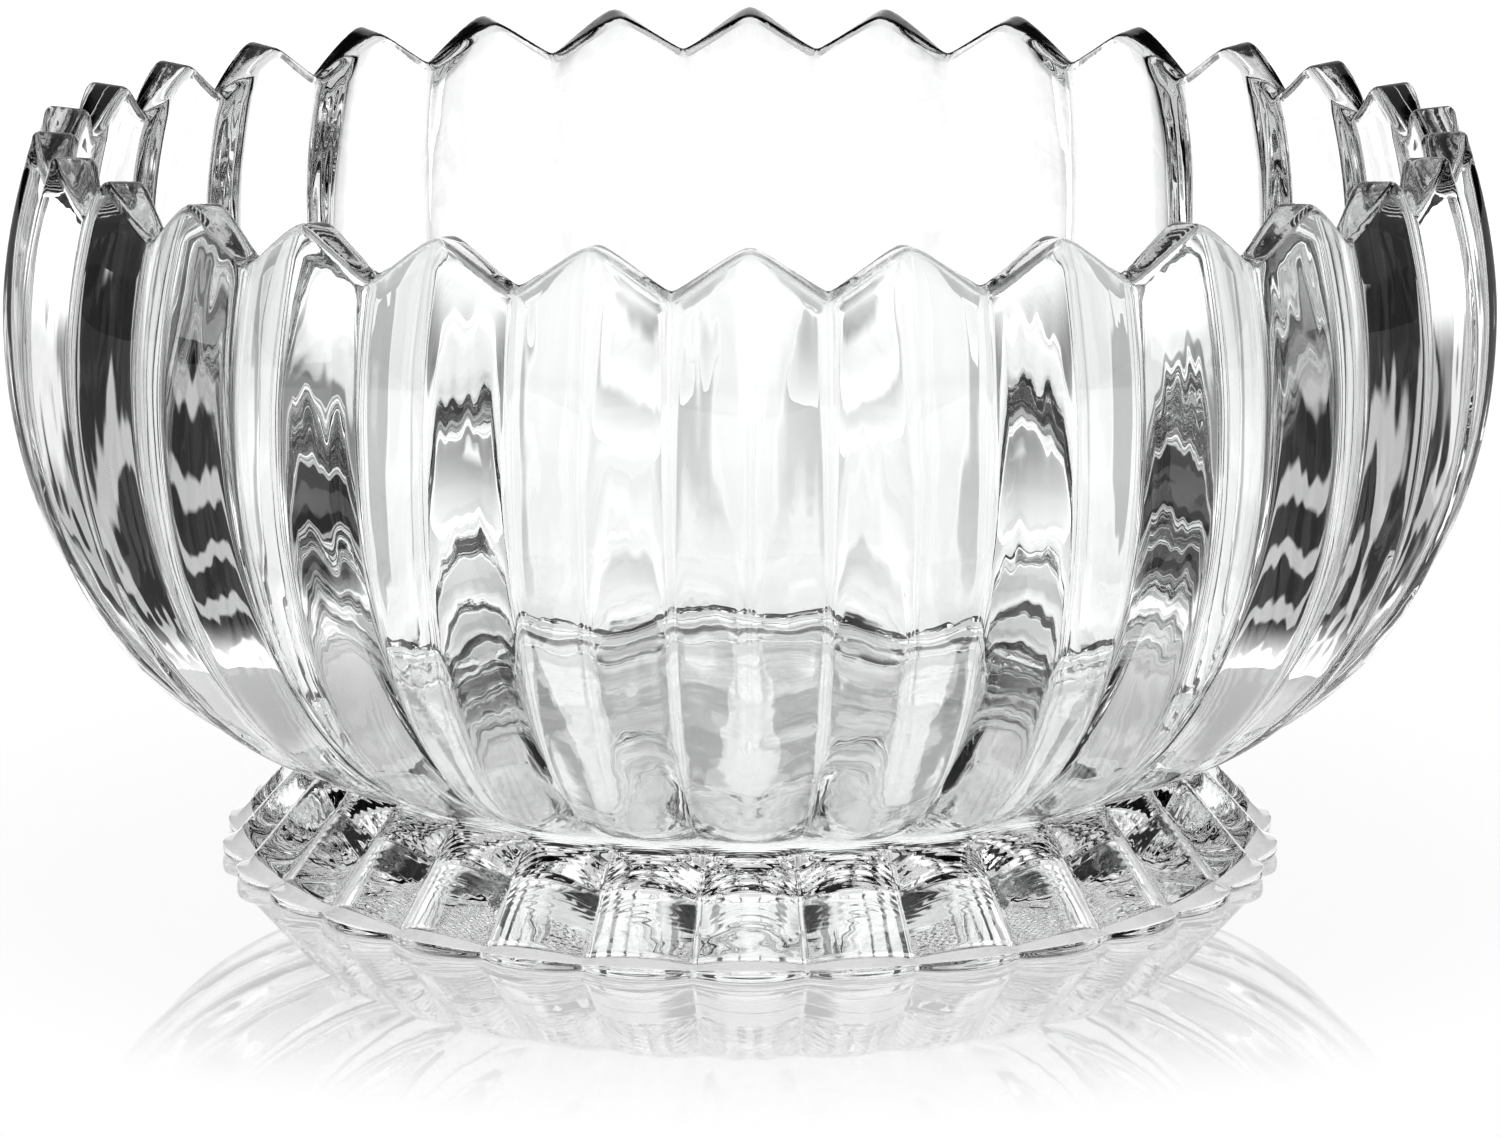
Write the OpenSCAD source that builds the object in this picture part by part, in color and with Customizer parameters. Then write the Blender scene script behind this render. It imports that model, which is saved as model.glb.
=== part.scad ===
// Footed punch bowl in clear pressed glass: a fluted bowl bonded to a flared, scalloped foot ring.
// Millimetres, +Z up, origin on the ground plane under the centre of the foot.

/* [Flutes] */
// Ridges round the bowl, with one foot lobe under each
flute_count = 30; // [18:2:40]
// Depth of the grooves between ridges at the widest point
flute_depth = 4.8; // [2:0.2:6]
// Width of the worn crest on each ridge
crest_w = 2.6; // [1.2:0.2:5]
// Width of the bottom of each groove
groove_w = 1.8; // [1:0.2:4]

/* [Bowl] */
// Height of the tooth tips on the rim
rim_z = 146.4; // [130:0.2:170]
// Height of the zigzag teeth
tooth_h = 9; // [3:0.5:14]
// Widest radius, over the ridges
belly_r = 146.7; // [130:0.1:160]
// Height of the widest point
belly_z = 109.5; // [95:0.5:120]
// How far the ridges lean in between the widest point and the tooth tips
rim_lean = 6.9; // [2:0.1:12]
// Height of the ground face that the foot is bonded to
seat_z = 21; // [20:0.2:24]
// Height of the inside floor
floor_z = 23.5; // [22:0.5:36]
// Wall thickness at the widest point, ridge included
wall_t = 9.4; // [7:0.2:14]
// Radius of the boss under the bowl, which sits in the foot
boss_r = 64; // [40:1:70]
// Height of the boss's underside
boss_z = 8.5; // [6:0.5:16]

/* [Foot] */
// Radius of the foot over its lobes
foot_r = 105.4; // [98:0.2:115]
// Depth of the creases between lobes at the base
crease_depth = 3.4; // [1:0.2:5]
// Radius of the skirt where it meets the neck
neck_r = 88.6; // [86:0.2:92]
// Radius of the hollow at the base
foot_hollow_r = 97; // [90:0.5:98]

/* [Bond] */
// Thickness of the clear adhesive film between bowl and foot
bond_t = 0.4; // [0.2:0.1:0.8]
// Outer radius of the film
bond_r = 78; // [70:0.5:79]

/* [Hidden] */
$fn = 120;
pitch = 360 / flute_count;
half = pitch / 2;
bowl_rings = 22;
skirt_rings = 4;
bowl_core_r = 65;            // flat centre of the underside, before the belly turns up
bowl_drop = 89.9;            // from the widest point down to that flat
belly_power = 2.15;          // above 2 makes the belly fuller than an ellipse
lean_power = 1.85;
inner_core_r = 52;
inner_power = 2.2;
rim_hub_z = rim_z - 0.7 * tooth_h;
crest_a = crest_w / belly_r * 90 / PI;
groove_a = groove_w / belly_r * 90 / PI;
foot_top_z = seat_z - bond_t;
land_r = 84;                 // flat top of the foot
shoulder_z = 4.2;            // lobe centres, where the skirt starts
edge_z = 2.6;                // top of the upright edge
foot_bore_r = boss_r + bond_t;

// Height and lean of the outside over the ridges.
function belly(z) = z < belly_z
    ? bowl_core_r + (belly_r - bowl_core_r)
        * pow(1 - pow((belly_z - z) / bowl_drop, belly_power), 1 / belly_power)
    : belly_r - rim_lean * pow((z - belly_z) / (rim_z - belly_z), lean_power);

// One ridge: shoulders of the crest, then shoulders of the groove. Each is [angle, 0 crest or 1 groove].
ridge = [[-crest_a, 0], [crest_a, 0], [half - groove_a, 1], [half + groove_a, 1]];
around = [for (k = [0 : flute_count - 1]) for (p = ridge) [p[0] + (k + 0.5) * pitch, p[1]]];

function rim_top(p) = rim_z - tooth_h * p[1];
function ring_z(p, u) = seat_z + (rim_top(p) - seat_z) * (1 - cos(90 * u));
function fluted(p, z) = belly(z) * (1 - p[1] * flute_depth / belly_r);
function on_circle(r, a, z) = [r * cos(a), r * sin(a), z];

bowl_points = [
    [0, 0, seat_z],
    for (j = [0 : bowl_rings]) for (p = around)
        let (z = ring_z(p, j / bowl_rings)) on_circle(fluted(p, z), p[0], z),
    [0, 0, rim_hub_z]
];

// Closed skin over stacked rings of n points, with a hub below the first ring and one above the last.
function skin(n, rings) = concat(
    [for (i = [0 : n - 1]) [0, 1 + i, 1 + (i + 1) % n]],
    [for (j = [0 : rings - 2]) for (i = [0 : n - 1])
        let (a = 1 + j * n + i, b = 1 + j * n + (i + 1) % n) [a, a + n, b + n, b]],
    [for (i = [0 : n - 1])
        let (c = 1 + (rings - 1) * n) [c + i, c + n, c + (i + 1) % n]]
);

// Inside of the bowl: a smooth turned cavity, open at the top.
module bowl_hollow() {
    inner_r = belly_r - wall_t;
    depth = belly_z - floor_z;
    rise = rim_z - belly_z;
    curve = [for (a = [10 : 8 : 90]) [
        inner_core_r + (inner_r - inner_core_r) * pow(sin(a), 2 / inner_power),
        belly_z - depth * pow(cos(a), 2 / inner_power)
    ]];
    lean = [for (u = [0.25 : 0.25 : 1.25])
        [inner_r - rim_lean * pow(u, lean_power), belly_z + rise * u]];
    rotate_extrude()
        polygon(concat([[0, floor_z], [inner_core_r, floor_z]], curve, lean,
            [[0, belly_z + 1.25 * rise]]));
}

module bowl() color("lightcyan") difference() {
    union() {
        polyhedron(points = bowl_points, faces = skin(len(around), bowl_rings + 1));
        translate([0, 0, boss_z]) cylinder(h = seat_z + 1 - boss_z, r = boss_r);
    }
    bowl_hollow();
}

// Foot: lobes are shallow arcs. Each entry is [angle, 0 at the lobe centre to 1 at the crease].
lobe_steps = 6;
lobes = [for (k = [0 : flute_count - 1]) for (i = [0 : lobe_steps - 1])
    let (t = 2 * i / lobe_steps - 1) [(k + 0.5 + t / 2) * pitch, t * t]];

skirt_slope = (foot_r - 2.8 - neck_r) / (foot_top_z - 0.8 - shoulder_z);
skirt_depth = 0.045;         // crease depth over radius, on the skirt
neck_depth = 0.03;

function base_r(p) = foot_r - crease_depth * p[1];
function skirt_r(p, z) = (neck_r + (foot_top_z - 0.8 - z) * skirt_slope) * (1 - skirt_depth * p[1]);
function skirt_z(p, u) = shoulder_z - 2 * p[1] + (foot_top_z - 2.4 - shoulder_z + 2 * p[1]) * u;

foot_points = [
    [0, 0, 0],
    for (p = lobes) on_circle(base_r(p) - 1.4, p[0], 0),
    for (p = lobes) on_circle(base_r(p) - 0.4, p[0], 0.4),
    for (p = lobes) on_circle(base_r(p), p[0], 1.4),
    for (p = lobes) on_circle(base_r(p), p[0], edge_z - 0.8 * p[1]),
    for (j = [0 : skirt_rings]) for (p = lobes)
        let (z = skirt_z(p, j / skirt_rings)) on_circle(skirt_r(p, z), p[0], z),
    for (p = lobes) on_circle(neck_r * (1 - neck_depth * p[1]) - 1.2, p[0], foot_top_z - 0.6),
    for (p = lobes) on_circle(land_r - 2 * p[1], p[0], foot_top_z),
    [0, 0, foot_top_z]
];
foot_rings = skirt_rings + 7;

module foot_hollow() {
    roof_z = boss_z;
    roof_r = neck_r - 8;
    rotate_extrude()
        polygon([
            [0, -1], [foot_hollow_r + 1, -1], [foot_hollow_r, 0], [roof_r + 1.6, roof_z - 2.4],
            [roof_r - 0.6, roof_z - 0.6], [roof_r - 3.4, roof_z], [foot_bore_r, roof_z],
            [foot_bore_r, foot_top_z + 1], [0, foot_top_z + 1]
        ]);
}

module foot() color("azure") difference() {
    polyhedron(points = foot_points, faces = skin(len(lobes), foot_rings));
    foot_hollow();
}

// The film lines the bore and the land: a sleeve with a flange.
module bond() color("gold") rotate_extrude() polygon([
    [boss_r, boss_z], [foot_bore_r, boss_z], [foot_bore_r, foot_top_z],
    [bond_r, foot_top_z], [bond_r, seat_z], [boss_r, seat_z]
]);

bowl();
foot();
bond();
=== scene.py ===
import math

import bpy
from bpy.props import FloatProperty, FloatVectorProperty, IntProperty, PointerProperty
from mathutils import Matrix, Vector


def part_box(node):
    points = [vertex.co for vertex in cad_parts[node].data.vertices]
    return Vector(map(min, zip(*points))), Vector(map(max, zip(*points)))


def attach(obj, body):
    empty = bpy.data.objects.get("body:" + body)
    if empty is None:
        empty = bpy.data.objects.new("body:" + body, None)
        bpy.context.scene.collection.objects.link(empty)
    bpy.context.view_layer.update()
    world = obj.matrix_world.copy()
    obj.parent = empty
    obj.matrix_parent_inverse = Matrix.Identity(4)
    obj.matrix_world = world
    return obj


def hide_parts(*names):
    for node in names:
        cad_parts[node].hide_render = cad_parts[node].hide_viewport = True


bl_info = {
    "name": "Fluted Punch Bowl",
    "version": (1, 0, 0),
    "blender": (4, 5, 0),
    "location": "View3D > Sidebar > Punch Bowl",
    "description": "Builds a footed punch bowl in clear pressed glass round its CAD frame",
    "category": "Object",
}

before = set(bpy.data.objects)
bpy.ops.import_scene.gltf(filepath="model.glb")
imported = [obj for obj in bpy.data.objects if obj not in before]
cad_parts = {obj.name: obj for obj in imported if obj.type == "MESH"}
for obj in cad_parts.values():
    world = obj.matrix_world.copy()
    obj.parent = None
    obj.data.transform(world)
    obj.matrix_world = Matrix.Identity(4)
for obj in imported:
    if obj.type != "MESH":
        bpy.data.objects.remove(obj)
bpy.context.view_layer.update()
BOWL_LOW, BOWL_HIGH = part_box("bowl")
FOOT_LOW, FOOT_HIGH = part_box("foot")
BOND_LOW, BOND_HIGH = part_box("bond")
FILM = BOND_HIGH.z - FOOT_HIGH.z
BOSS_RADIUS = 0.064
HALF_TURN = math.pi
QUARTER_TURN = math.pi / 2
DEGREES = 180 / math.pi
GLASS, RIM, BONDED = range(3)

RING_RATE = 6000.0       # turns the radius into ring angle: about one ring a millimetre
RINGS_LOW, RINGS_HIGH = 0.008, 0.013    # heights between which the foot's rings fade in
CARD_STRIPES = 34.0      # the card's light rays repeat this often in one turn
CARD_INNER, CARD_HEIGHT = 0.14, 0.002   # how near the axis the cards come, and how high they lie
GLOSS_NEAR, GLOSS_FAR = 0.13, 0.20      # radii between which the floor's gloss fades out
GLOSS_BEHIND, GLOSS_FRONT = 0.4, 0.12   # the fade grows from so far behind the axis to so far in front


# ---------------------------------------------------------------- node arithmetic

class Term:
    """A node socket that takes part in arithmetic: each operation adds one Math node."""

    def __init__(self, nodes, socket):
        self.nodes = nodes
        self.socket = socket

    def _math(self, operation, *values):
        node = self.nodes.add("ShaderNodeMath", {"operation": operation}, dict(enumerate(values)))
        return Term(self.nodes, node.outputs[0])

    def __add__(self, other):
        return self._math("ADD", self, other)

    def __radd__(self, other):
        return self._math("ADD", other, self)

    def __sub__(self, other):
        return self._math("SUBTRACT", self, other)

    def __rsub__(self, other):
        return self._math("SUBTRACT", other, self)

    def __mul__(self, other):
        return self._math("MULTIPLY", self, other)

    def __rmul__(self, other):
        return self._math("MULTIPLY", other, self)

    def __truediv__(self, other):
        return self._math("DIVIDE", self, other)

    def __rtruediv__(self, other):
        return self._math("DIVIDE", other, self)

    def __pow__(self, other):
        return self._math("POWER", self, other)

    def at_least(self, other):
        return self._math("MAXIMUM", self, other)

    def at_most(self, other):
        return self._math("MINIMUM", self, other)

    def below(self, other):
        return self._math("LESS_THAN", self, other)

    def sine(self):
        return self._math("SINE", self)

    def cosine(self):
        return self._math("COSINE", self)

    def arcsine(self):
        return self._math("ARCSINE", self)

    def bearing(self, ahead):
        """Angle whose tangent is this over ahead, right round the circle."""
        return self._math("ARCTAN2", self, ahead)

    def root(self):
        return self._math("SQRT", self)

    def size(self):
        return self._math("ABSOLUTE", self)


class Nodes:
    """Adds nodes to one tree: settings first, then the values or links of the sockets."""

    def __init__(self, tree):
        self.tree = tree

    def add(self, kind, settings=None, inputs=None):
        node = self.tree.nodes.new(kind)
        for name, value in (settings or {}).items():
            setattr(node, name, value)
        for key, value in (inputs or {}).items():
            if isinstance(value, Term):
                value = value.socket
            if isinstance(value, bpy.types.NodeSocket):
                self.tree.links.new(value, node.inputs[key])
            else:
                node.inputs[key].default_value = value
        return node

    def term(self, kind, settings=None, inputs=None, output=0):
        return Term(self, self.add(kind, settings, inputs).outputs[output])


def smooth(value, low, high):
    """0 below low, 1 above high, and an S-curve between."""
    share = ((value - low) / (high - low)).at_least(0.0).at_most(1.0)
    return share * share * (3.0 - 2.0 * share)


# ---------------------------------------------------------------- settings

def length(name, description, default, **limits):
    return FloatProperty(name=name, description=description, default=default, min=0.0,
                         unit="LENGTH", subtype="DISTANCE", precision=5, **limits)


class BowlSettings(bpy.types.PropertyGroup):
    ridges: IntProperty(name="Ridges", description="Ridges round the bowl", default=30, min=12, max=60)
    widest_radius: length("Widest Radius", "Radius over the ridges", BOWL_HIGH.y)
    widest_height: length("Widest Height", "Height of the widest point", 0.1095)
    core_radius: length("Core Radius", "Flat centre from which the belly turns up", 0.065)
    belly_drop: length("Belly Drop", "From the widest point down to the flat centre", 0.0899)
    belly_fullness: FloatProperty(name="Belly Fullness", description="Above 2 is fuller than an ellipse",
                                  default=2.15, min=1.5, max=3.0)
    rim_lean: length("Rim Lean", "How far the ridges lean in towards the rim", 0.0069)
    lean_power: FloatProperty(name="Lean Power", description="How late the lean sets in",
                              default=1.85, min=1.0, max=3.0)
    groove_depth: length("Groove Depth", "Depth between ridges at the widest point", 0.0048)
    crest_round: FloatProperty(name="Crest Rounding", description="Rounded share of half a ridge",
                               default=0.08, min=0.01, max=0.5)
    groove_round: FloatProperty(name="Groove Rounding", description="Rounded share of half a groove",
                                default=0.055, min=0.01, max=0.5)
    flute_bow: length("Flute Bow", "How far a flute's faces bulge", 0.0003)
    tooth_height: length("Tooth Height", "Height of the teeth on the rim", 0.0090)
    tip_round: FloatProperty(name="Tip Rounding", description="Rounded share of half a tooth",
                             default=0.13, min=0.01, max=0.5)
    outer_edge: length("Outer Edge", "Radius of the rim's outer edge", 0.0016)
    inner_edge: length("Inner Edge", "Radius of the rim's inner edge", 0.0020)
    floor_height: length("Floor Height", "Height of the inside floor", 0.0235)
    floor_radius: length("Floor Radius", "Radius of the flat of the inside floor", 0.052)
    wall: length("Wall", "Wall thickness at the widest point, ridge included", 0.0094)
    inner_fullness: FloatProperty(name="Inner Fullness", description="Above 2 is fuller than an ellipse",
                                  default=2.2, min=1.5, max=3.0)


class FootSettings(bpy.types.PropertyGroup):
    foot_radius: length("Foot Radius", "Radius over the lobes at the base", FOOT_HIGH.y)
    crease_depth: length("Crease Depth", "Depth between lobes at the base", 0.0034)
    crease_round: FloatProperty(name="Crease Rounding", description="Rounded share of half a lobe",
                                default=0.04, min=0.01, max=0.3)
    neck_radius: length("Neck Radius", "Radius at the top of the skirt", 0.0886)
    edge_height: length("Edge Height", "Height of the upright edge", 0.0026)
    shoulder_height: length("Shoulder Height", "Where the skirt starts", 0.0042)
    skirt_crease: FloatProperty(name="Skirt Crease", description="Crease depth over radius on the skirt",
                                default=0.045, min=0.0, max=0.1)
    land_radius: length("Land Radius", "Flat top of the foot", 0.084)
    hollow_radius: length("Hollow Radius", "Radius of the hollow at the base", 0.097)
    sole_round: length("Sole Rounding", "Radius of the edge that meets the table", 0.0014)
    roof_round: length("Roof Rounding", "Radius between the hollow's roof and its side", 0.0024)


class GlassSettings(bpy.types.PropertyGroup):
    tint: FloatVectorProperty(name="Tint", description="Colour of the glass",
                              default=(0.985, 0.99, 0.988), subtype="COLOR", min=0.0, max=1.0)
    ripple: length("Ripple", "Height of the slow waves that pressing leaves", 0.0007)
    streak: length("Streak", "Height of the fine upright lines", 0.00004)
    pits: length("Pits", "Height of the grain on the rim", 0.00003)
    rings: length("Rings", "Height of the fine rings round the top of the foot", 0.00001)
    rim_roughness: FloatProperty(name="Rim Roughness", description="Roughness of the rim's faces",
                                 default=0.10, min=0.0, max=1.0)


class StageSettings(bpy.types.PropertyGroup):
    floor_radius: length("Floor Radius", "Radius of the round floor", 3.0)
    floor_colour: FloatVectorProperty(name="Floor Colour", description="Colour of the glossy floor",
                                      default=(0.12, 0.12, 0.12), subtype="COLOR", min=0.0, max=1.0)
    floor_glow: FloatProperty(name="Floor Glow", description="Light that comes up through the floor",
                              default=0.56, min=0.0)
    light: FloatProperty(name="Light", description="Strength of the studio light", default=1.0, min=0.0)
    camera_distance: length("Camera Distance", "From the bowl's axis to the camera", 1.5503)
    camera_height: length("Camera Height", "Camera height above the floor", 0.4146)
    camera_tilt: FloatProperty(name="Camera Tilt", description="Downward tilt of the camera",
                               default=math.radians(13.03), subtype="ANGLE")
    focal_length: FloatProperty(name="Focal Length", description="Lens focal length, in millimetres",
                                default=192.3, min=10.0)


# ---------------------------------------------------------------- shapes by rule

class Turned(Nodes):
    """A geometry tree for a body whose section is swept round Z, one ridge at a time.

    A patch is a grid over half a ridge to each side. across runs from -1 to 1 over the ridge, and
    along runs from 0 to 1 down the patch's own stretch of the section.
    """

    COLUMNS = 21
    CROWDING = 0.72

    def __init__(self, name, inputs):
        tree = bpy.data.node_groups.new(name, "GeometryNodeTree")
        super().__init__(tree)
        self.values = {}
        for label, value in inputs.items():
            kind = "NodeSocketInt" if isinstance(value, int) else "NodeSocketFloat"
            socket = tree.interface.new_socket(name=label, in_out="INPUT", socket_type=kind)
            self.values[socket.identifier] = value
        tree.interface.new_socket(name="Mesh", in_out="OUTPUT", socket_type="NodeSocketGeometry")
        self.group = self.add("NodeGroupInput")
        position = self.add("GeometryNodeInputPosition").outputs[0]
        place = self.add("ShaderNodeSeparateXYZ", inputs={0: position})
        raw = Term(self, place.outputs[0])
        self.across = raw - (raw * (2 * HALF_TURN)).sine() * (self.CROWDING / (2 * HALF_TURN))
        self.along = Term(self, place.outputs[1]) + 0.5
        self.side = self.across.size()
        self.ridges = self.read("Ridges")
        self.angle = self.across * (HALF_TURN / self.ridges) - QUARTER_TURN
        self.patches = []

    def read(self, label):
        return Term(self, self.group.outputs[label])

    def fixed(self, height):
        return self.term("ShaderNodeMath", {"operation": "ADD"}, {0: height, 1: 0.0})

    def patch(self, rows, radius, height, finish=GLASS):
        grid = self.add("GeometryNodeMeshGrid", inputs={
            "Size X": 2.0, "Size Y": 1.0, "Vertices X": self.COLUMNS, "Vertices Y": rows})
        place = self.add("ShaderNodeCombineXYZ", inputs={
            0: self.angle.cosine() * radius, 1: self.angle.sine() * radius, 2: height})
        shaped = self.add("GeometryNodeSetPosition", inputs={
            "Geometry": grid.outputs["Mesh"], "Position": place.outputs[0]})
        self.patches.append(self.add(
            "GeometryNodeStoreNamedAttribute", {"data_type": "INT", "domain": "FACE"},
            {"Geometry": shaped.outputs[0], "Name": "finish", "Value": finish}))

    def line(self, rows, start, end, finish=GLASS):
        """A straight stretch of the section from start to end, each a radius and a height."""
        share = self.along
        self.patch(rows, start[0] + (end[0] - start[0]) * share,
                   start[1] + (end[1] - start[1]) * share, finish)

    def arc(self, rows, centre, radius, first, last, finish=GLASS):
        """A round stretch of the section, between two angles above the outward direction."""
        turn = self.along * (last - first) + first
        self.patch(rows, centre[0] + turn.cosine() * radius, centre[1] + turn.sine() * radius, finish)

    def build(self, name, materials, weld=4e-6):
        """Repeats the patches round Z, welds them into one closed skin and gives each face its finish."""
        joined = self.add("GeometryNodeJoinGeometry")
        for patch in reversed(self.patches):
            self.tree.links.new(patch.outputs[0], joined.inputs[0])
        points = self.add("GeometryNodePoints", inputs={"Count": self.ridges.socket})
        turn = self.term("GeometryNodeInputIndex") * (2 * HALF_TURN / self.ridges)
        spin = self.add("ShaderNodeCombineXYZ", inputs={2: turn})
        copies = self.add("GeometryNodeInstanceOnPoints", inputs={
            "Points": points.outputs[0], "Instance": joined.outputs[0], "Rotation": spin.outputs[0]})
        real = self.add("GeometryNodeRealizeInstances", inputs={0: copies.outputs[0]})
        welded = self.add("GeometryNodeMergeByDistance", inputs={
            "Geometry": real.outputs[0], "Distance": weld})
        skin = self.add("GeometryNodeSetShadeSmooth", inputs={"Geometry": welded.outputs[0]})
        finish = self.term("GeometryNodeInputNamedAttribute", {"data_type": "INT"}, {"Name": "finish"})
        for index, material in materials.items():
            chosen = (finish - index).size().below(0.5)
            skin = self.add("GeometryNodeSetMaterial", inputs={
                "Geometry": skin.outputs[0], "Selection": chosen, "Material": material})
        self.add("NodeGroupOutput", inputs={0: skin.outputs[0]})
        return finished_piece(name, self.tree, self.values)


def finished_piece(name, tree, values):
    """Runs a geometry tree once and keeps its result as a plain mesh, welded and closed."""
    piece = bpy.data.objects.new(name, bpy.data.meshes.new(name))
    bpy.context.scene.collection.objects.link(piece)
    modifier = piece.modifiers.new("Shape", "NODES")
    modifier.node_group = tree
    for identifier, value in values.items():
        modifier[identifier] = value
    piece.update_tag()
    graph = bpy.context.evaluated_depsgraph_get()
    mesh = bpy.data.meshes.new_from_object(piece.evaluated_get(graph))
    piece.modifiers.remove(modifier)
    while mesh.materials and mesh.materials[0] is None:
        mesh.materials.pop(index=0)
    piece.data = mesh
    mesh.name = name
    return piece


def ridge_wave(side, crest, groove):
    """0 on the crest and 1 in the groove, straight between, with both rounded."""
    near = (side * side + crest * crest).root() - crest
    far = ((1.0 - side) * (1.0 - side) + groove * groove).root() - groove
    return near / (near + far)


def bowl_tree(settings):
    """The bowl's closed section, from the middle of its underside round to the inside floor."""
    nodes = Turned("Fluted Bowl", {
        "Ridges": settings.ridges,
        "Widest Radius": settings.widest_radius,
        "Widest Height": settings.widest_height,
        "Core Radius": settings.core_radius,
        "Belly Drop": settings.belly_drop,
        "Belly Fullness": settings.belly_fullness,
        "Rim Lean": settings.rim_lean,
        "Lean Power": settings.lean_power,
        "Groove Depth": settings.groove_depth,
        "Crest Rounding": settings.crest_round,
        "Groove Rounding": settings.groove_round,
        "Flute Bow": settings.flute_bow,
        "Tooth Height": settings.tooth_height,
        "Tip Rounding": settings.tip_round,
        "Outer Edge": settings.outer_edge,
        "Inner Edge": settings.inner_edge,
        "Floor Height": settings.floor_height,
        "Floor Radius": settings.floor_radius,
        "Wall": settings.wall,
        "Inner Fullness": settings.inner_fullness,
    })
    read = nodes.read
    widest, widest_z, floor_z = read("Widest Radius"), read("Widest Height"), read("Floor Height")
    rim_z, seat_z, boss_z = BOWL_HIGH.z, BOND_HIGH.z, BOWL_LOW.z
    bond_radius = BOND_HIGH.x

    def lean(height):
        share = ((height - widest_z) / (rim_z - widest_z)).at_least(0.0)
        return read("Rim Lean") * share ** read("Lean Power")

    def curve(height, core, outer, drop, power):
        down = ((widest_z - height) / drop).at_least(0.0)
        return core + (outer - core) * (1.0 - down ** power).at_least(0.0) ** (1.0 / power) - lean(height)

    def outside(height):
        soft = 1.0 - smooth(height, 0.022, 0.060)
        wave = ridge_wave(nodes.side, read("Crest Rounding") + soft * 0.30, read("Groove Rounding"))
        bow = 4.0 * read("Flute Bow") * wave * (1.0 - wave)
        belly = curve(height, read("Core Radius"), widest, read("Belly Drop"), read("Belly Fullness"))
        return belly * (1.0 - (wave * read("Groove Depth") - bow) / widest)

    def inside(height):
        return curve(height, read("Floor Radius"), widest - read("Wall"), widest_z - floor_z,
                     read("Inner Fullness"))

    tooth = ridge_wave(nodes.side, read("Tip Rounding"), read("Groove Rounding"))
    outer_top = rim_z - tooth * read("Tooth Height")
    inner_top = rim_z - 0.0005 - tooth * (read("Tooth Height") - 0.0013)
    outer_start = outer_top - read("Outer Edge")
    inner_start = inner_top - read("Inner Edge")
    outer_centre = outside(outer_start) - read("Outer Edge")
    inner_centre = inside(inner_start) + read("Inner Edge")

    nodes.line(7, (0.0, boss_z), (BOSS_RADIUS, boss_z))
    nodes.line(4, (BOSS_RADIUS, boss_z), (BOSS_RADIUS, seat_z), BONDED)
    nodes.line(4, (BOSS_RADIUS, seat_z), (bond_radius, seat_z), BONDED)
    nodes.line(3, (bond_radius, seat_z), (outside(nodes.fixed(seat_z)), seat_z))
    rise = 1.0 - (nodes.along * QUARTER_TURN).cosine()
    height = seat_z + (outer_start - seat_z) * rise
    nodes.patch(56, outside(height), height)
    nodes.arc(6, (outer_centre, outer_start), read("Outer Edge"), 0.0, QUARTER_TURN, RIM)
    nodes.line(4, (outer_centre, outer_top), (inner_centre, inner_top), RIM)
    nodes.arc(6, (inner_centre, inner_start), read("Inner Edge"), QUARTER_TURN, HALF_TURN, RIM)
    fall = 1.0 - (nodes.along * QUARTER_TURN).sine()
    height = floor_z + (inner_start - floor_z) * fall
    nodes.patch(44, inside(height), height)
    nodes.line(10, (read("Floor Radius"), floor_z), (0.0, floor_z))
    return nodes


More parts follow.
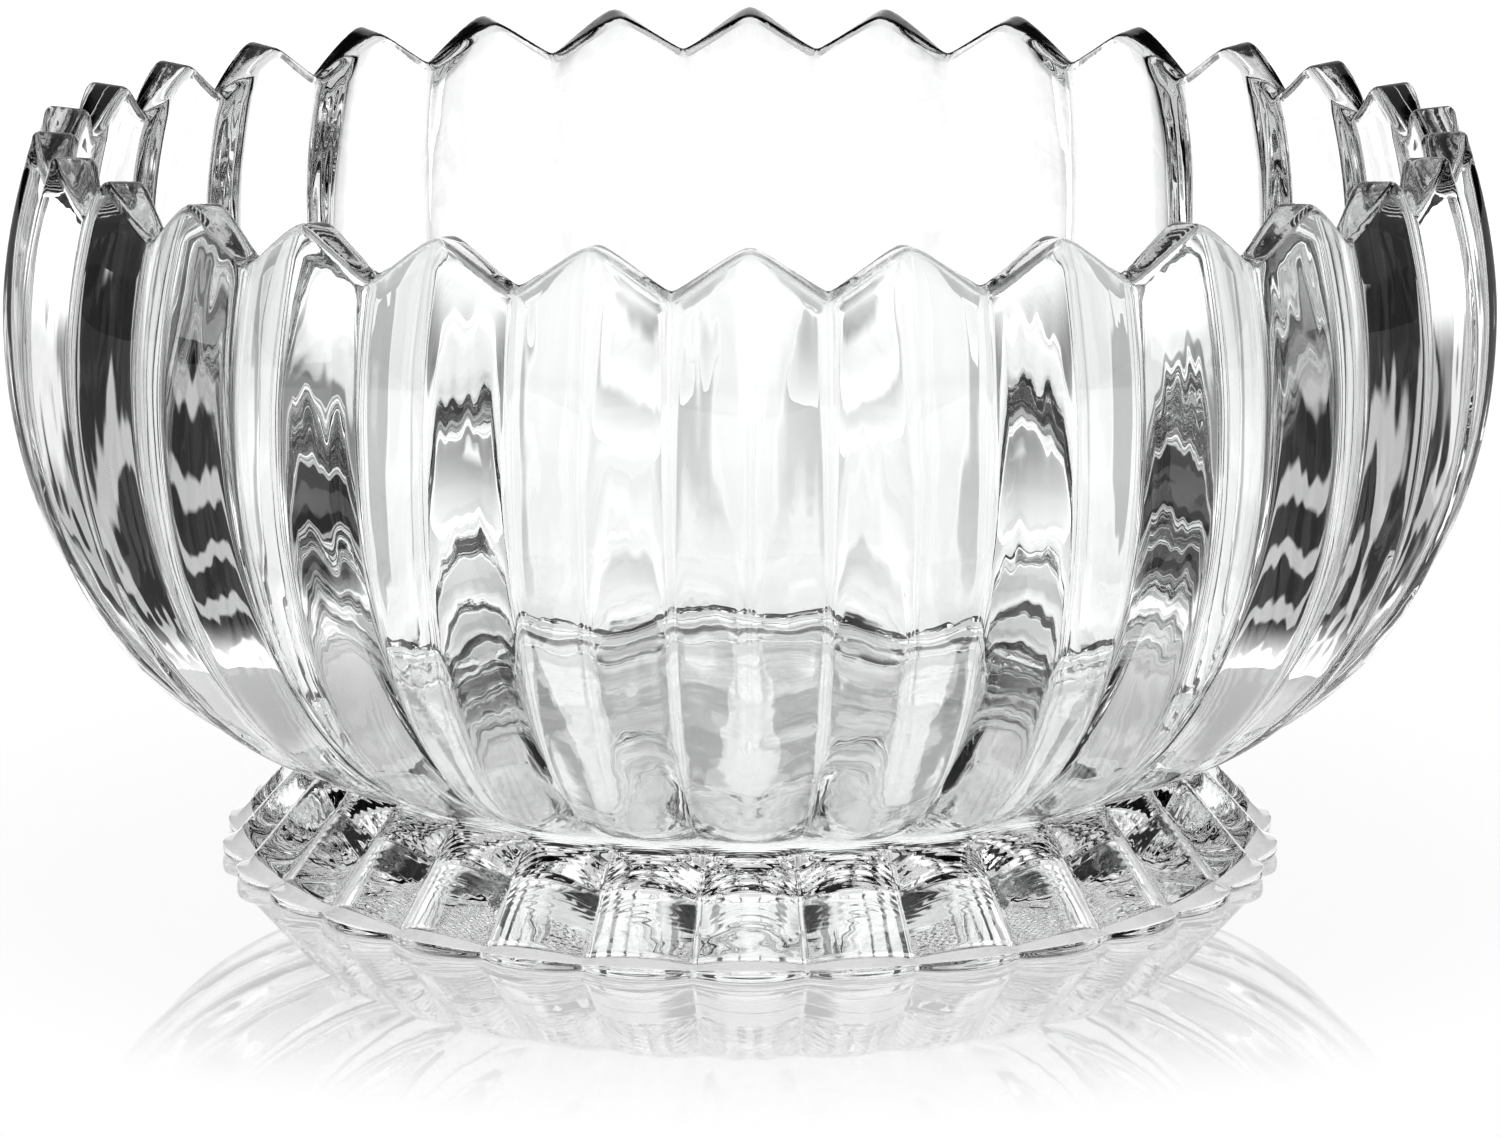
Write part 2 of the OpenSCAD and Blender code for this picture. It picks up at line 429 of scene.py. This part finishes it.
def foot_tree(settings, ridges):
    """The foot's closed section, from the inner edge of its base out, up, over and down the hollow."""
    nodes = Turned("Scalloped Foot", {
        "Ridges": ridges,
        "Foot Radius": settings.foot_radius,
        "Crease Depth": settings.crease_depth,
        "Crease Rounding": settings.crease_round,
        "Sole Rounding": settings.sole_round,
        "Edge Height": settings.edge_height,
        "Shoulder Height": settings.shoulder_height,
        "Skirt Crease": settings.skirt_crease,
        "Neck Radius": settings.neck_radius,
        "Land Radius": settings.land_radius,
        "Hollow Radius": settings.hollow_radius,
        "Roof Rounding": settings.roof_round,
    })
    read = nodes.read
    side = nodes.side
    soft, sole, neck, fillet = (read(label) for label in (
        "Crease Rounding", "Sole Rounding", "Neck Radius", "Roof Rounding"))
    lobe = side * side - 2.0 * (((1.0 - side) * (1.0 - side) + soft * soft).root() - (1.0 - side))
    top, roof = FOOT_HIGH.z, BOND_LOW.z
    bore, bond_radius = BOSS_RADIUS + FILM, BOND_HIGH.x
    base = read("Foot Radius") - read("Crease Depth") * lobe
    edge_drop, shoulder_drop, land_dip = 0.0008, 0.0020, 0.002
    neck_drop, shoulder_step, neck_crease, skirt_wall = 0.0008, 0.0028, 0.03, 0.0064
    edge_z = read("Edge Height") - edge_drop * lobe
    shoulder_z = read("Shoulder Height") - shoulder_drop * lobe
    skirt_top = top - 0.0024
    slope = (read("Foot Radius") - shoulder_step - neck) / (top - neck_drop - read("Shoulder Height"))

    def skirt(height):
        return (neck + (top - neck_drop - height) * slope) * (1.0 - read("Skirt Crease") * lobe)

    neck_edge = neck * (1.0 - neck_crease * lobe)
    land = read("Land Radius") - land_dip * lobe
    roof_edge = neck - skirt_wall - fillet

    nodes.line(4, (read("Hollow Radius"), 0.0), (base - sole, 0.0))
    nodes.arc(6, (base - sole, sole), sole, -QUARTER_TURN, 0.0)
    nodes.line(3, (base, sole), (base, edge_z))
    bend = nodes.along * nodes.along * (3.0 - 2.0 * nodes.along)
    height = edge_z + (shoulder_z - edge_z) * nodes.along
    nodes.patch(7, base + (skirt(height) - base) * bend, height)
    height = shoulder_z + (skirt_top - shoulder_z) * nodes.along
    nodes.patch(16, skirt(height), height)
    nodes.line(3, (skirt(nodes.fixed(skirt_top)), skirt_top), (neck_edge - 0.0006, top - 0.0010))
    nodes.line(3, (neck_edge - 0.0006, top - 0.0010), (neck_edge - 0.0022, top - 0.0003))
    nodes.line(3, (neck_edge - 0.0022, top - 0.0003), (land, top))
    nodes.line(3, (land, top), (bond_radius, top))
    nodes.line(4, (bond_radius, top), (bore, top), BONDED)
    nodes.line(4, (bore, top), (bore, roof), BONDED)
    nodes.line(5, (bore, roof), (roof_edge, roof))
    turn = math.radians(41)
    nodes.arc(6, (roof_edge, roof - fillet), fillet, QUARTER_TURN, QUARTER_TURN - turn)
    nodes.line(12, (roof_edge + fillet * math.sin(turn), roof - fillet + fillet * math.cos(turn)),
               (read("Hollow Radius"), 0.0))
    return nodes


def bond_tree(ridges):
    """The film's section: down the sleeve, under the flange, round its outer edge and back over the top."""
    nodes = Turned("Clear Bond", {"Ridges": ridges})
    low, under, high = BOND_LOW.z, FOOT_HIGH.z, BOND_HIGH.z
    inner, outer, rim = BOSS_RADIUS, BOSS_RADIUS + FILM, BOND_HIGH.x
    nodes.line(2, (inner, low), (outer, low))
    nodes.line(4, (outer, low), (outer, under), BONDED)
    nodes.line(4, (outer, under), (rim, under), BONDED)
    nodes.line(3, (rim, under), (rim, high))
    nodes.line(4, (rim, high), (inner, high), BONDED)
    nodes.line(4, (inner, high), (inner, low), BONDED)
    return nodes


# ---------------------------------------------------------------- materials

def new_material(name):
    material = bpy.data.materials.new(name)
    material.use_nodes = True
    material.node_tree.nodes.clear()
    return material, Nodes(material.node_tree)


def pressed_glass(name, settings, waves=1.0, grain=0.0, roughness=0.0, rings=0.0):
    """Clear pressed glass: waves, upright streaks and rings from the mould, and grain where it is ground."""
    material, nodes = new_material(name)
    place = nodes.add("ShaderNodeTexCoord").outputs["Object"]

    def noise(stretch, scale, detail):
        spread = nodes.add("ShaderNodeVectorMath", {"operation": "MULTIPLY"}, {0: place, 1: stretch})
        return nodes.term("ShaderNodeTexNoise", {"noise_dimensions": "3D"}, {
            "Vector": spread.outputs[0], "Scale": scale, "Detail": detail, "Roughness": 0.5}, "Fac") - 0.5

    height = noise((1.0, 1.0, 0.45), 34.0, 1.5) * (settings.ripple * waves)
    height = height + noise((1.0, 1.0, 0.12), 210.0, 1.0) * (settings.streak * waves)
    if grain:
        height = height + noise((1.0, 1.0, 1.0), 260.0, 2.0) * (3.0 * grain) \
            + noise((1.0, 1.0, 1.0), 900.0, 2.0) * grain
    if rings:
        axes = nodes.add("ShaderNodeSeparateXYZ", inputs={0: place})
        x, y, z = (Term(nodes, axes.outputs[index]) for index in range(3))
        ring = (RING_RATE * (x * x + y * y).root()).sine()
        height = height + ring * smooth(z, RINGS_LOW, RINGS_HIGH) * rings
    bump = nodes.add("ShaderNodeBump", inputs={"Strength": 1.0, "Distance": 1.0, "Height": height})
    shader = nodes.add("ShaderNodeBsdfPrincipled", inputs={
        "Base Color": (*settings.tint, 1.0),
        "Roughness": roughness,
        "IOR": 1.52,
        "Transmission Weight": 1.0,
        "Normal": bump.outputs[0],
    })
    nodes.add("ShaderNodeOutputMaterial", inputs={"Surface": shader.outputs[0]})
    return material


def bonded_face(name):
    """Where two glass faces are cemented, light passes straight through."""
    material, nodes = new_material(name)
    shader = nodes.add("ShaderNodeBsdfTransparent", inputs={"Color": (0.995, 0.995, 0.995, 1.0)})
    nodes.add("ShaderNodeOutputMaterial", inputs={"Surface": shader.outputs[0]})
    return material


def lit_acrylic(name, colour, glow):
    """Glossy acrylic lit from below. Away from the bowl, in front and beside it, the gloss dies out."""
    material, nodes = new_material(name)
    place = nodes.add("ShaderNodeSeparateXYZ", inputs={
        0: nodes.add("ShaderNodeTexCoord").outputs["Object"]})
    x, y = Term(nodes, place.outputs[0]), Term(nodes, place.outputs[1])
    away = smooth((x * x + y * y).root(), GLOSS_NEAR, GLOSS_FAR) * smooth(0.0 - y, -GLOSS_BEHIND, GLOSS_FRONT)
    gloss = nodes.add("ShaderNodeBsdfPrincipled", inputs={
        "Base Color": (*colour, 1.0), "Roughness": 0.02, "IOR": 2.5,
        "Emission Color": (1.0, 1.0, 1.0, 1.0), "Emission Strength": glow})
    plain = nodes.add("ShaderNodeEmission", inputs={"Strength": 1.0})
    mixed = nodes.add("ShaderNodeMixShader", inputs={
        0: away, 1: gloss.outputs[0], 2: plain.outputs[0]})
    nodes.add("ShaderNodeOutputMaterial", inputs={"Surface": mixed.outputs[0]})
    return material


def painted_light_and_shade_card(name):
    """Painted light and shade seen only through the glass: near white behind the bowl, and black from beside
    the bowl outwards, with lighter rays across it.
    """
    material, nodes = new_material(name)
    place = nodes.add("ShaderNodeSeparateXYZ", inputs={
        0: nodes.add("ShaderNodeTexCoord").outputs["Object"]})
    x, y = Term(nodes, place.outputs[0]).size(), Term(nodes, place.outputs[1])
    edge = CARD_INNER + 1.1 * (y - 0.13).at_least(0.0)
    # Painted shade: the card goes dark beside the bowl, so the glass walls show dark strips.
    dim = 0.75 * smooth(x, 0.13, 0.22) * (1.0 - smooth(y, 0.40, 0.60))
    # Painted light: lighter rays fan out across the dark part of the card.
    painted_light_rays = 0.6 * smooth((y.bearing(x - 0.1) * CARD_STRIPES).sine(), 0.1, 0.7)
    level = (1.1 - dim) * (1.0 - smooth(x, edge, edge + 0.03)) + painted_light_rays + 0.012
    colour = nodes.add("ShaderNodeCombineColor", inputs={0: level, 1: level, 2: level})
    shader = nodes.add("ShaderNodeEmission", inputs={"Color": colour.outputs[0], "Strength": 1.0})
    nodes.add("ShaderNodeOutputMaterial", inputs={"Surface": shader.outputs[0]})
    return material


# ---------------------------------------------------------------- operators

def settle(piece, node):
    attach(piece, "root")
    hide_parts(node)
    return {"FINISHED"}


class PUNCHBOWL_OT_bowl(bpy.types.Operator):
    """Build the fluted bowl"""
    bl_idname = "punchbowl.bowl"
    bl_label = "Bowl"

    def execute(self, context):
        glass = context.scene.punch_bowl_glass
        piece = bowl_tree(context.scene.punch_bowl).build("fluted_bowl", {
            GLASS: pressed_glass("bowl_glass", glass),
            RIM: pressed_glass("rim_glass", glass, 1.0, glass.pits, glass.rim_roughness),
            BONDED: bonded_face("bowl_bonded_face")})
        return settle(piece, "bowl")


class PUNCHBOWL_OT_foot(bpy.types.Operator):
    """Build the scalloped foot ring"""
    bl_idname = "punchbowl.foot"
    bl_label = "Foot"

    def execute(self, context):
        scene = context.scene
        piece = foot_tree(scene.punch_bowl_foot, scene.punch_bowl.ridges).build("scalloped_foot", {
            GLASS: pressed_glass("foot_glass", scene.punch_bowl_glass, waves=0.8,
                                 rings=scene.punch_bowl_glass.rings),
            BONDED: bonded_face("foot_bonded_face")})
        return settle(piece, "foot")


class PUNCHBOWL_OT_bond(bpy.types.Operator):
    """Build the clear film between bowl and foot"""
    bl_idname = "punchbowl.bond"
    bl_label = "Bond"

    def execute(self, context):
        scene = context.scene
        piece = bond_tree(scene.punch_bowl.ridges).build("clear_bond", {
            GLASS: pressed_glass("adhesive_edge", scene.punch_bowl_glass),
            BONDED: bonded_face("adhesive_face")})
        return settle(piece, "bond")


def studio_world(strength):
    """A white backdrop, side strips, a front fill and an overhead softbox in a dark room."""
    world = bpy.data.worlds.new("Studio")
    world.use_nodes = True
    world.node_tree.nodes.clear()
    nodes = Nodes(world.node_tree)
    way = nodes.add("ShaderNodeSeparateXYZ", inputs={
        0: nodes.add("ShaderNodeTexCoord").outputs["Generated"]})
    x, y, z = (Term(nodes, way.outputs[index]) for index in range(3))
    azimuth = x.size().bearing(y) * DEGREES
    elevation = z.arcsine() * DEGREES

    def panel(level, left, right, low, high, edge=3.0):
        across = smooth(azimuth, left - edge, left + edge)
        across = across * (1.0 - smooth(azimuth, right - edge, right + edge))
        up = smooth(elevation, low - edge, low + edge)
        return across * (up * (1.0 - smooth(elevation, high - edge, high + edge))) * level

    light = 0.03 + panel(1.1, -9.0, 21.0, -20.0, 44.0) + panel(0.5, 70.0, 106.0, -20.0, 30.0) \
        + panel(1.3, 152.0, 189.0, -20.0, 42.0) + panel(1.5, 104.0, 189.0, 44.0, 66.0) \
        + panel(0.8, -9.0, 42.0, 44.0, 66.0) + panel(0.8, -9.0, 189.0, 66.0, 99.0)
    seen = nodes.add("ShaderNodeLightPath").outputs["Is Camera Ray"]
    level = light + (1.0 - light) * Term(nodes, seen)
    colour = nodes.add("ShaderNodeCombineColor", inputs={0: level, 1: level, 2: level})
    shader = nodes.add("ShaderNodeBackground", inputs={"Color": colour.outputs[0], "Strength": strength})
    nodes.add("ShaderNodeOutputWorld", inputs={"Surface": shader.outputs[0]})
    return world


class PUNCHBOWL_OT_stage(bpy.types.Operator):
    """Build the floor, the studio light and the camera"""
    bl_idname = "punchbowl.stage"
    bl_label = "Stage"

    def execute(self, context):
        settings = context.scene.punch_bowl_stage
        bpy.ops.mesh.primitive_circle_add(vertices=128, radius=settings.floor_radius, fill_type="NGON")
        floor = context.object
        floor.name = "studio_floor"
        floor.data.materials.append(lit_acrylic("lit_acrylic", settings.floor_colour, settings.floor_glow))
        card_face = painted_light_and_shade_card("painted_light_and_shade_card")
        reach = settings.floor_radius
        for side, label in ((-1, "left"), (1, "right")):
            outline = [(CARD_INNER, -0.16), (reach, -0.18), (reach, reach), (CARD_INNER, reach)]
            sheet = bpy.data.meshes.new("side_card_" + label)
            sheet.from_pydata([(side * x, y, CARD_HEIGHT) for x, y in outline], [], [range(4)[::side]])
            sheet.materials.append(card_face)
            card = bpy.data.objects.new(sheet.name, sheet)
            context.scene.collection.objects.link(card)
            # The cards are hidden from every ray but those through the glass: their glow is painted light and
            # shade for what the glass refracts.
            card.visible_camera = card.visible_glossy = False
            card.visible_diffuse = card.visible_shadow = False
        context.scene.world = studio_world(settings.light)
        data = bpy.data.cameras.new("camera")
        data.lens = settings.focal_length
        data.sensor_width = 36.0
        data.clip_start, data.clip_end = 0.05, 20.0
        camera = bpy.data.objects.new("camera", data)
        context.scene.collection.objects.link(camera)
        camera.location = (0.0, -settings.camera_distance, settings.camera_height)
        camera.rotation_euler = (QUARTER_TURN - settings.camera_tilt, 0.0, 0.0)
        context.scene.camera = camera
        context.scene.view_settings.view_transform = "Standard"
        context.scene.view_settings.gamma = 0.75
        cycles = context.scene.cycles
        cycles.max_bounces = cycles.transmission_bounces = 32
        cycles.glossy_bounces = 8
        cycles.transparent_max_bounces = 128
        return {"FINISHED"}


class PUNCHBOWL_PT_panel(bpy.types.Panel):
    """Lists the bowl's settings and operators in the sidebar"""
    bl_label = "Punch Bowl"
    bl_space_type = "VIEW_3D"
    bl_region_type = "UI"
    bl_category = "Punch Bowl"

    def draw(self, context):
        for operator in OPERATORS:
            self.layout.operator(operator.bl_idname)
        for name in SETTINGS:
            box = self.layout.box()
            for label in SETTINGS[name].__annotations__:
                box.prop(getattr(context.scene, name), label)


SETTINGS = {"punch_bowl": BowlSettings, "punch_bowl_foot": FootSettings,
            "punch_bowl_glass": GlassSettings, "punch_bowl_stage": StageSettings}
OPERATORS = (PUNCHBOWL_OT_stage, PUNCHBOWL_OT_bowl, PUNCHBOWL_OT_foot, PUNCHBOWL_OT_bond)
CLASSES = (*SETTINGS.values(), *OPERATORS, PUNCHBOWL_PT_panel)


def register():
    for item in CLASSES:
        bpy.utils.register_class(item)
    for name, group in SETTINGS.items():
        setattr(bpy.types.Scene, name, PointerProperty(type=group))


def unregister():
    for name in SETTINGS:
        delattr(bpy.types.Scene, name)
    for item in reversed(CLASSES):
        bpy.utils.unregister_class(item)


def main():
    register()
    bpy.ops.punchbowl.stage()
    bpy.ops.punchbowl.bowl()
    bpy.ops.punchbowl.foot()
    bpy.ops.punchbowl.bond()


if __name__ == "__main__":
    main()
